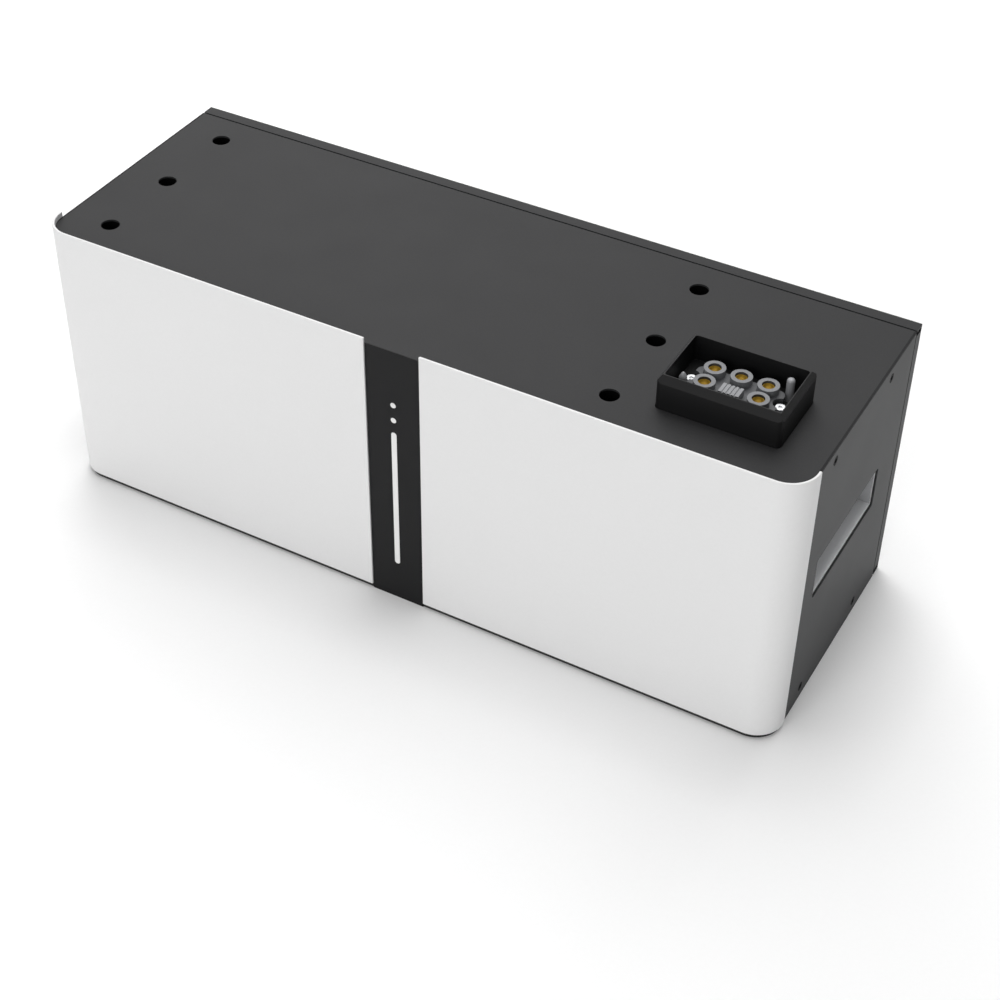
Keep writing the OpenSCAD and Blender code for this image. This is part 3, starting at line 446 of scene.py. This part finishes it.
def apply_modifier(piece: bpy.types.Object, kind: str, **settings: object) -> None:
    """Adds a modifier to a piece and applies it.

    Args:
        piece: The piece.
        kind: The modifier's type.
        **settings: Its settings.
    """
    take(piece)
    modifier = piece.modifiers.new(kind.lower(), kind)
    for name, value in settings.items():
        setattr(modifier, name, value)
    bpy.ops.object.modifier_apply(modifier=modifier.name)


def round_edges(piece: bpy.types.Object, radius_mm: float, steps: int = 2) -> None:
    """Rounds a piece's sharp edges and keeps its flat faces looking flat.

    Args:
        piece: The piece, with merged vertices.
        radius_mm: Radius of the edges.
        steps: Segments across each edge.
    """
    apply_modifier(piece, "BEVEL", width=radius_mm * MM, segments=steps,
                   limit_method="ANGLE", angle_limit=SHARP_EDGE, use_clamp_overlap=True)
    take(piece)
    bpy.ops.object.shade_smooth_by_angle(angle=SMOOTH_FACES)
    apply_modifier(piece, "WEIGHTED_NORMAL", keep_sharp=True, weight=FLAT_WEIGHT)


def dress_where(piece: bpy.types.Object, finish: Finish,
                chosen: Callable[[Vector, Vector], bool]) -> None:
    """Gives some faces of a dressed piece another finish.

    Args:
        piece: The piece.
        finish: The other finish.
        chosen: Says by its centre in millimetres and its normal whether a face gets it.
    """
    piece.data.materials.append(finish_of(finish))
    last = len(piece.data.materials) - 1
    for face in piece.data.polygons:
        if chosen(face.center / MM, face.normal):
            face.material_index = last


def stand_in(piece: bpy.types.Object, finish: Finish, *nodes: str) -> None:
    """Dresses a piece, and lets it ride on the module and stand for CAD nodes.

    Args:
        piece: The new piece.
        finish: Its finish.
        *nodes: The nodes that it stands for.
    """
    dress(piece, finish)
    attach(piece, ROOT)
    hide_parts(*nodes)
    LOG.info("%s: %d faces, %s", piece.name, len(piece.data.polygons), finish.value.name)


def turned(name: str, place_mm: tuple[float, float], steps_mm: list[tuple[float, float]],
           sides: int = 32) -> bpy.types.Object:
    """Turns a round part: a disc drawn up step by step along its axis.

    Args:
        name: The part's name.
        place_mm: Where its axis stands, in X and Y.
        steps_mm: Radius and height of each step, from the bottom up.
        sides: Vertices round the axis.

    Returns:
        The part, closed and facing outwards.
    """
    radius, height = steps_mm[0]
    bpy.ops.object.select_all(action="DESELECT")
    bpy.ops.mesh.primitive_circle_add(
        vertices=sides, radius=radius * MM, fill_type="NGON",
        location=(place_mm[0] * MM, place_mm[1] * MM, height * MM))
    part = bpy.context.object
    part.name = name
    bpy.ops.object.mode_set(mode="EDIT")
    for wider, higher in steps_mm[1:]:
        bpy.ops.mesh.extrude_region_move(
            TRANSFORM_OT_translate={"value": (0, 0, (higher - height) * MM)})
        bpy.ops.transform.resize(value=(wider / radius, wider / radius, 1))
        radius, height = wider, higher
    bpy.ops.mesh.select_all(action="SELECT")
    bpy.ops.mesh.remove_doubles(threshold=MERGE_MM * MM)
    bpy.ops.mesh.normals_make_consistent(inside=False)
    bpy.ops.object.mode_set(mode="OBJECT")
    bpy.ops.object.transform_apply(location=True, rotation=True, scale=True)
    bpy.ops.object.shade_smooth_by_angle(angle=SMOOTH_TURNED)
    return part


def repeated(part: bpy.types.Object,
             moves_mm: list[tuple[float, float]]) -> list[bpy.types.Object]:
    """Copies a part, each copy with its own mesh.

    Args:
        part: The part to copy.
        moves_mm: How far each copy lies from it, in X and Y.

    Returns:
        The part and its copies.
    """
    parts = [part]
    for x, y in moves_mm:
        copy = part.copy()
        copy.data = part.data.copy()
        copy.data.transform(Matrix.Translation((x * MM, y * MM, 0)))
        bpy.context.scene.collection.objects.link(copy)
        parts.append(copy)
    return parts


def joined(name: str, parts: list[bpy.types.Object]) -> bpy.types.Object:
    """Joins parts into one piece.

    Args:
        name: The piece's name.
        parts: The parts.

    Returns:
        The piece.
    """
    take(parts[0])
    for part in parts:
        part.select_set(True)
    bpy.ops.object.join()
    piece = bpy.context.object
    piece.name = name
    return piece


def pick(piece: bpy.types.Object, chosen: Callable[[Vector], bool]) -> None:
    """Selects vertices of a piece by their place, and leaves it in edit mode.

    Args:
        piece: The piece.
        chosen: Says by its place in millimetres whether a vertex is selected.
    """
    take(piece)
    bpy.ops.object.mode_set(mode="EDIT")
    bpy.ops.mesh.select_mode(type="VERT")
    bpy.ops.mesh.select_all(action="DESELECT")
    bpy.ops.object.mode_set(mode="OBJECT")
    for vertex in piece.data.vertices:
        vertex.select = chosen(vertex.co / MM)
    bpy.ops.object.mode_set(mode="EDIT")


def softened(node: str, radius_mm: float, finish: Finish, steps: int = 2,
             shape: Callable[[bpy.types.Object], None] | None = None) -> bpy.types.Object:
    """Copies a CAD node, merges its triangles into faces and rounds its edges.

    Args:
        node: The CAD node.
        radius_mm: Radius of the edges.
        finish: The copy's finish.
        steps: Segments across each edge.
        shape: Reshapes the merged copy before its edges are rounded.

    Returns:
        The new piece, which stands for the node.
    """
    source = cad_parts[node]
    piece = bpy.data.objects.new(node + "_finished", source.data.copy())
    bpy.context.scene.collection.objects.link(piece)
    take(piece)
    bpy.ops.mesh.customdata_custom_splitnormals_clear()
    bpy.ops.object.mode_set(mode="EDIT")
    bpy.ops.mesh.select_all(action="SELECT")
    bpy.ops.mesh.remove_doubles(threshold=MERGE_MM * MM)
    bpy.ops.mesh.dissolve_limited(angle_limit=FLAT_EDGE)
    bpy.ops.object.mode_set(mode="OBJECT")
    if shape:
        shape(piece)
    round_edges(piece, radius_mm, steps)
    stand_in(piece, finish, node)
    return piece


class Side(Enum):
    """The two ends of the module, as signs along X."""

    LEFT = -1
    RIGHT = 1

    @property
    def tag(self) -> str:
        """The word used in the nodes' names."""
        return self.name.lower()


@dataclass
class SteelCase:
    """Folded sheet-steel case: base tray, top panel, sides and rear cover."""

    half_width_mm: float = 300.0
    # Centre, in X and Y, and radius of the rear corners of the CAD's lid and tray.
    arc_mm: tuple[float, float, float] = (280.0, 86.0, 20.0)
    # Width of the painted seam shade along both sides of the lid.
    margin_mm: float = 1.5
    lid_edge_mm: float = 0.7
    side_edge_mm: float = 0.6
    hidden_edge_mm: float = 0.3
    screw_edge_mm: float = 0.15

    def build(self) -> None:
        """Finishes every panel of the case and its screws."""
        lid = softened("top_panel", self.lid_edge_mm, Finish.TOP_COAT, steps=3,
                       shape=self.shape_lid)
        # The lid's side margins get painted shade for the seam.
        dress_where(lid, Finish.SEAM_SHADE_COAT, self.on_lid_edge)
        softened("base_tray", self.lid_edge_mm, Finish.TRAY_COAT, shape=self.square_corners)
        # The rear cover takes the lighter copy of the powder on its upright faces and the lid's
        # darker one on faces looking up: painted light by which way a face looks.
        rear = softened("rear_cover", self.lid_edge_mm, Finish.SIDE_COAT, steps=3)
        dress_where(rear, Finish.TOP_COAT, lambda centre, normal: normal.z > FACING_UP)
        softened("front_panel", self.hidden_edge_mm, Finish.TRAY_COAT)
        for side in Side:
            softened(f"side_panel_{side.tag}", self.side_edge_mm, Finish.SIDE_COAT, steps=3)
        for screws in ("side_screws", "rear_screws"):
            softened(screws, self.screw_edge_mm, Finish.SCREW_BLACK)
        # The cups are near pure black: partly painted shade in the locating holes.
        for cups in ("top_locating_cups", "bottom_locating_cups"):
            dress(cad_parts[cups], Finish.CUP_BLACK)

    def shape_lid(self, piece: bpy.types.Object) -> None:
        """Squares the lid's rear corners and cuts a margin along each side, for the painted seam
        shade.

        Args:
            piece: The lid.
        """
        self.square_corners(piece)
        for side in Side:
            take(piece)
            bpy.ops.object.mode_set(mode="EDIT")
            bpy.ops.mesh.select_all(action="SELECT")
            place = side.value * (self.half_width_mm - self.margin_mm) * MM
            bpy.ops.mesh.bisect(plane_co=(place, 0, 0), plane_no=(1, 0, 0))
            bpy.ops.object.mode_set(mode="OBJECT")

    def on_lid_edge(self, centre: Vector, normal: Vector) -> bool:
        """Says whether a face of the lid belongs to the painted seam shade along its side edge.

        Args:
            centre: The face's centre, in millimetres.
            normal: The face's normal.

        Returns:
            True on the edge, on its rounding and on the margin beside it.
        """
        return abs(centre.x) > self.half_width_mm - self.margin_mm

    def square_corners(self, piece: bpy.types.Object) -> None:
        """Draws the rear corners of a lid or tray out to the full width, as sheet is cut.

        Args:
            piece: The lid or tray.
        """
        x, y, radius = self.arc_mm
        for side in Side:
            way = side.value
            pick(piece, lambda at, way=way: (
                way * at.x > x and at.y > y - TOUCH_MM
                and abs(math.hypot(way * at.x - x, at.y - y) - radius) < TOUCH_MM))
            edge = way * self.half_width_mm * MM
            bpy.ops.transform.resize(value=(0, 1, 1), center_override=(edge, 0, 0))
            bpy.ops.object.mode_set(mode="OBJECT")


@dataclass
class FrontCover:
    """One white cover: a sheet wrapped round a front corner of the body."""

    side: Side
    thickness_mm: float = 2.0
    corner_mm: float = 22.0
    corner_steps: int = 18
    edge_mm: float = 0.6
    edge_steps: int = 3
    post_x_mm: tuple[float, ...] = (61.7, 161.85, 262.0)
    post_z_mm: tuple[float, ...] = (32.0, 196.0)
    post_sides: int = 24
    # Radius and depth of each step of a post, from the cover to its barb.
    post_steps_mm: tuple[tuple[float, float], ...] = (
        (3.0, -105.0), (3.0, -102.2), (3.8, -102.2), (2.5, -99.2))

    def build(self) -> bpy.types.Object:
        """Bends the cover from a flat sheet, adds its posts and finishes it.

        Returns:
            The cover.
        """
        node = f"front_cover_{self.side.tag}"
        sheet = self.sheet(node)
        posts = [self.post(x, z) for x in self.post_x_mm for z in self.post_z_mm]
        piece = joined(node + "_finished", [sheet, *posts])
        stand_in(piece, Finish.COVER_WHITE, node)
        return piece

    def sheet(self, node: str) -> bpy.types.Object:
        """Bends the sheet round the corner and gives it its thickness.

        Args:
            node: The CAD node whose place it takes.

        Returns:
            The sheet.
        """
        low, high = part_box(node)
        way = self.side.value
        radius = self.corner_mm * MM
        outer = high.x if way > 0 else low.x
        inner = low.x if way > 0 else high.x
        bend_x = outer - way * radius
        bpy.ops.object.select_all(action="DESELECT")
        bpy.ops.mesh.primitive_plane_add(
            size=1, rotation=(math.pi / 2, 0, 0),
            location=((inner + bend_x) / 2, low.y, (low.z + high.z) / 2))
        sheet = bpy.context.object
        bpy.ops.transform.resize(value=(abs(bend_x - inner), 1, high.z - low.z))
        bpy.ops.object.transform_apply(location=True, rotation=True, scale=True)
        pick(sheet, lambda at: abs(at.x - bend_x / MM) < TOUCH_MM)
        bpy.ops.mesh.select_mode(type="EDGE")
        bpy.ops.mesh.spin(steps=self.corner_steps, angle=-way * math.pi / 2,
                          center=(bend_x, low.y + radius, 0), axis=(0, 0, 1))
        bpy.ops.mesh.extrude_region_move(
            TRANSFORM_OT_translate={"value": (0, high.y - low.y - radius, 0)})
        bpy.ops.mesh.select_all(action="SELECT")
        bpy.ops.mesh.remove_doubles(threshold=MERGE_MM * MM)
        bpy.ops.mesh.normals_make_consistent(inside=False)
        bpy.ops.object.mode_set(mode="OBJECT")
        if sheet.data.polygons[0].normal.y > 0:
            sheet.data.flip_normals()
        apply_modifier(sheet, "SOLIDIFY", thickness=self.thickness_mm * MM, offset=-1.0,
                       use_even_offset=True)
        round_edges(sheet, self.edge_mm, self.edge_steps)
        return sheet

    def post(self, x_mm: float, z_mm: float) -> bpy.types.Object:
        """Turns one barbed post that snaps into the front panel.

        Args:
            x_mm: Its place along the width.
            z_mm: Its height.

        Returns:
            The post.
        """
        post = turned("cover_post", (0, 0), list(self.post_steps_mm), self.post_sides)
        lay = Matrix.Rotation(-math.pi / 2, 4, "X")
        place = Matrix.Translation((self.side.value * x_mm * MM, 0, z_mm * MM))
        post.data.transform(place @ lay)
        return post


@dataclass
class IndicatorStrip:
    """Dark strip between the covers, with its light bar, dots and board."""

    edge_mm: float = 0.15

    def build(self) -> None:
        """Finishes the strip and what shines through it."""
        softened("indicator_strip", self.edge_mm, Finish.STRIP_BLACK)
        softened("light_bar_lens", self.edge_mm, Finish.LENS_MILK)
        softened("status_lenses", self.edge_mm, Finish.LENS_MILK)
        dress(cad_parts["led_board"], Finish.BOARD)


@dataclass
class HandPockets:
    """Scooped pockets behind the openings in both ends."""

    edge_mm: float = 0.25
    # Faces behind this Y that look to the front, by this share or more, are the rear wall.
    rear_wall_mm: float = 48.0
    facing_front: float = 0.4

    def build(self) -> None:
        """Finishes both pockets, with painted shade on their rear walls."""
        for side in Side:
            pocket = softened(f"handle_pocket_{side.tag}", self.edge_mm, Finish.POCKET_GREY)
            # The rear walls get the darker copy of the ABS: painted shade.
            dress_where(pocket, Finish.POCKET_REAR, lambda centre, normal: (
                normal.y < -self.facing_front and centre.y > self.rear_wall_mm))


@dataclass
class StackConnector:
    """Blind-mate connector on top, and the dock for it in the bottom."""

    centre_mm: tuple[float, float] = (224.0, -41.0)
    # Height of the insert's floor, and how far above it a face still belongs to the floor.
    deck_z_mm: float = 240.0
    deck_room_mm: float = 0.2
    barrel_mm: float = 14.8
    barrel_room_mm: float = 0.1
    socket_pitch_mm: float = 19.0
    row_pitch_mm: float = 16.6
    guide_mm: tuple[float, float] = (31.7, 14.2)
    rim_edge_mm: float = 1.0
    insert_edge_mm: float = 0.35
    block_edge_mm: float = 0.2
    screw_edge_mm: float = 0.25
    shroud_edge_mm: float = 0.5
    plug_edge_mm: float = 0.3
    plug_pin_edge_mm: float = 0.2
    # Height of the floors of the signal block's slots in the CAD, and how far they rise.
    slot_floor_mm: float = 242.0
    slot_fill_mm: float = 2.3
    turned_sides: int = 40
    # Radius and height of each step of a contact and of both pins, from the bottom up.
    contact_steps_mm: tuple[tuple[float, float], ...] = (
        (3.0, 208.0), (3.0, 230.0), (4.25, 230.0), (4.25, 243.1), (4.1, 243.3), (3.5, 243.3),
        (3.3, 243.1), (2.7, 242.4), (1.9, 242.0), (1.0, 241.8), (0.1, 241.75))
    pointed_steps_mm: tuple[tuple[float, float], ...] = (
        (2.75, 233.5), (2.75, 247.0), (2.55, 247.6), (1.1, 250.4), (0.7, 250.8), (0.2, 251.0))
    blunt_steps_mm: tuple[tuple[float, float], ...] = (
        (2.75, 233.5), (2.75, 248.8), (2.6, 249.6), (2.2, 250.3), (1.5, 250.8), (0.6, 251.0))

    def build(self) -> None:
        """Finishes the connector and the dock."""
        softened("connector_housing", self.rim_edge_mm, Finish.HOUSING_BLACK, steps=4)
        # The insert's floor keeps the darker copy of the polyester: painted shade.
        insert = softened("connector_insert", self.insert_edge_mm, Finish.DECK_GREY, steps=3)
        dress_where(insert, Finish.BARREL_GREY, self.on_barrel)
        softened("signal_block", self.block_edge_mm, Finish.SIGNAL_GREY, shape=self.fill_slots)
        softened("connector_screws", self.screw_edge_mm, Finish.SCREW_ZINC, steps=3)
        self.contacts()
        self.pins()
        softened("bottom_shroud", self.shroud_edge_mm, Finish.HOUSING_BLACK)
        softened("bottom_plug", self.plug_edge_mm, Finish.BARREL_GREY)
        softened("bottom_plug_pins", self.plug_pin_edge_mm, Finish.CONTACT_GOLD)

    def fill_slots(self, piece: bpy.types.Object) -> None:
        """Raises the floors of the signal block's slots, which are shallow and pale.

        Args:
            piece: The signal block.
        """
        pick(piece, lambda at: abs(at.z - self.slot_floor_mm) < TOUCH_MM)
        bpy.ops.transform.translate(value=(0, 0, self.slot_fill_mm * MM))
        bpy.ops.object.mode_set(mode="OBJECT")

    def sockets(self) -> list[tuple[float, float]]:
        """Gives the places of the five sockets, from the connector's centre."""
        x, y = self.socket_pitch_mm, self.row_pitch_mm / 2
        return [(-x, y), (0, y), (x, y), (-x, -y), (x, -y)]

    def on_barrel(self, centre: Vector, normal: Vector) -> bool:
        """Says whether a face of the insert belongs to a barrel.

        Args:
            centre: The face's centre, in millimetres.
            normal: The face's normal.

        Returns:
            True on a barrel's wall, mouth or bore.
        """
        if centre.z < self.deck_z_mm + self.deck_room_mm and normal.z > FACING_UP:
            return False
        away = (math.hypot(centre.x - self.centre_mm[0] - x, centre.y - self.centre_mm[1] - y)
                for x, y in self.sockets())
        return (min(away) < self.barrel_mm / 2 + self.barrel_room_mm
                and centre.z > self.deck_z_mm - self.barrel_room_mm)

    def contacts(self) -> None:
        """Turns one dished contact and copies it into the other sockets."""
        places = self.sockets()
        first = (self.centre_mm[0] + places[0][0], self.centre_mm[1] + places[0][1])
        contact = turned("contact", first, list(self.contact_steps_mm),
                         self.turned_sides)
        moves = [(x - places[0][0], y - places[0][1]) for x, y in places[1:]]
        piece = joined("power_contacts_finished", repeated(contact, moves))
        stand_in(piece, Finish.CONTACT_GOLD, "power_contacts")

    def pins(self) -> None:
        """Turns the pointed and the blunt guide pin."""
        x, y = self.guide_mm
        pointed = turned("pointed_pin", (self.centre_mm[0] - x, self.centre_mm[1] - y),
                         list(self.pointed_steps_mm), self.turned_sides)
        blunt = turned("blunt_pin", (self.centre_mm[0] + x, self.centre_mm[1] + y),
                       list(self.blunt_steps_mm), self.turned_sides)
        piece = joined("guide_pins_finished", [pointed, blunt])
        stand_in(piece, Finish.PIN_STEEL, "guide_pins")


@dataclass
class CellPack:
    """The sealed cells, their clamps and copper, and the electronics."""

    def build(self) -> None:
        """Gives each inner node the finish of the real piece."""
        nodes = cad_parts
        finishes = {
            "pack_rails": Finish.ZINC_SHEET, "end_plate_left": Finish.PLATE_ALUMINIUM,
            "end_plate_right": Finish.PLATE_ALUMINIUM, "cell_pads": Finish.PAD_FELT,
            "pack_straps": Finish.ZINC_SHEET, "cell_busbars": Finish.COPPER,
            "sense_board": Finish.BOARD, "bms_bracket": Finish.ZINC_SHEET,
            "bms_board": Finish.BOARD, "contactors": Finish.HOUSING_BLACK,
            "main_fuse": Finish.CERAMIC, "power_links": Finish.COPPER,
        }
        for name, node in nodes.items():
            # cell_01 and so on are the cells; cell_pads and cell_busbars lie between them.
            if name.startswith("cell_") and name[5:].isdigit():
                dress(node, Finish.CELL_FILM)
            elif name in finishes:
                dress(node, finishes[name])


@dataclass(frozen=True)
class Lamp:
    """One square soft light, by where it hangs as seen from the module.

    Its power is in watts, and its size and distance are in metres.
    """

    name: str
    height_deg: float
    turn_deg: float
    power: float
    size: float = 1.6
    away: float = 3.0


@dataclass
class Studio:
    """Pale floor, soft lights and a camera at the photograph's angle."""

    floor_size: float = 24.0
    # Paper fibres are about 0.5 mm wide and are drawn at 3 mm so that they show.
    fibre_mm: float = 3.0
    room_light: float = 0.3
    aim: tuple[float, float, float] = (0.0, 0.0, 0.1)
    lamps: tuple[Lamp, ...] = (
        Lamp("key_behind_left", 60, 108, 50, size=2.4), Lamp("low_left", 20, 135, 24, size=2.2),
        Lamp("front_fill", 20, 268, 95, size=2.6, away=5.0), Lamp("overhead", 90, 0, 30))
    # The camera as it was solved from the photograph, in pixels, metres and degrees.
    focal_px: float = 1959.1
    frame_px: float = 1000.0
    centre_px: tuple[float, float] = (465.6, 478.5)
    eye: tuple[float, float, float] = (0.5764, -1.0068, 1.0149)
    azimuth: float = 29.886
    elevation: float = 40.046
    roll: float = 0.061
    sensor_mm: float = 36.0
    farthest: float = 60.0

    def build(self) -> None:
        """Sets the floor, the lights and the camera."""
        self.floor()
        self.lights()
        self.camera()

    def floor(self) -> None:
        """Lays a pale paper floor under the module."""
        bpy.ops.object.select_all(action="DESELECT")
        bpy.ops.mesh.primitive_plane_add(size=self.floor_size)
        floor = bpy.context.object
        floor.name = "studio_floor"
        paper = Shader("studio_paper", Metallic=0.0, Roughness=0.9)
        fibre = paper.add("TexNoise", {"Vector": paper.place,
                                       "Scale": 1 / (self.fibre_mm * MM)})
        tint = paper.add("Mix", {0: fibre.outputs[0], 6: linear("f9f9f9"), 7: linear("fcfcfc")},
                         data_type="RGBA")
        paper.feed(paper.surface, {"Base Color": tint.outputs[2]})
        floor.data.materials.append(paper.material)

    def lights(self) -> None:
        """Hangs the lamps and fills the room with soft light."""
        scene = bpy.context.scene
        scene.world = bpy.data.worlds.new("studio_room")
        scene.world.use_nodes = True
        room = scene.world.node_tree.nodes["Background"]
        room.inputs["Color"].default_value = (1.0, 1.0, 1.0, 1.0)
        room.inputs["Strength"].default_value = self.room_light
        scene.view_settings.view_transform = "Standard"
        for lamp in self.lamps:
            self.panel(lamp)

    def panel(self, lamp: Lamp) -> None:
        """Hangs one square soft light that faces the module.

        Args:
            lamp: Its direction, size and power.
        """
        height, turn = math.radians(lamp.height_deg), math.radians(lamp.turn_deg)
        out = Vector((math.cos(height) * math.cos(turn), math.cos(height) * math.sin(turn),
                      math.sin(height)))
        source = bpy.data.lights.new(lamp.name, "AREA")
        source.size = lamp.size
        source.energy = lamp.power
        light = bpy.data.objects.new(lamp.name, source)
        light.location = Vector(self.aim) + out * lamp.away
        light.rotation_euler = (-out).to_track_quat("-Z", "Y").to_euler()
        bpy.context.scene.collection.objects.link(light)

    def camera(self) -> None:
        """Stands the camera where the photograph was taken from."""
        lens = bpy.data.cameras.new("photo_camera")
        lens.sensor_width = self.sensor_mm
        lens.lens = self.focal_px / self.frame_px * self.sensor_mm
        # The lens's axis meets the photograph beside its middle, hence the shift.
        lens.shift_x = 0.5 - self.centre_px[0] / self.frame_px
        lens.shift_y = self.centre_px[1] / self.frame_px - 0.5
        lens.clip_end = self.farthest
        camera = bpy.data.objects.new("photo_camera", lens)
        turn = (Matrix.Rotation(math.radians(self.azimuth), 4, "Z")
                @ Matrix.Rotation(math.radians(90 - self.elevation), 4, "X")
                @ Matrix.Rotation(math.radians(self.roll), 4, "Z"))
        camera.matrix_world = Matrix.Translation(self.eye) @ turn
        bpy.context.scene.collection.objects.link(camera)
        bpy.context.scene.camera = camera


def main() -> None:
    """Builds the module's looks and the studio."""
    logging.basicConfig(level=logging.INFO, format="%(name)s: %(message)s")
    parts = [Studio(), SteelCase(), FrontCover(Side.LEFT), FrontCover(Side.RIGHT),
             IndicatorStrip(), HandPockets(), StackConnector(), CellPack()]
    for part in parts:
        part.build()
        LOG.info("built %s", part)


if __name__ == "__main__":
    main()
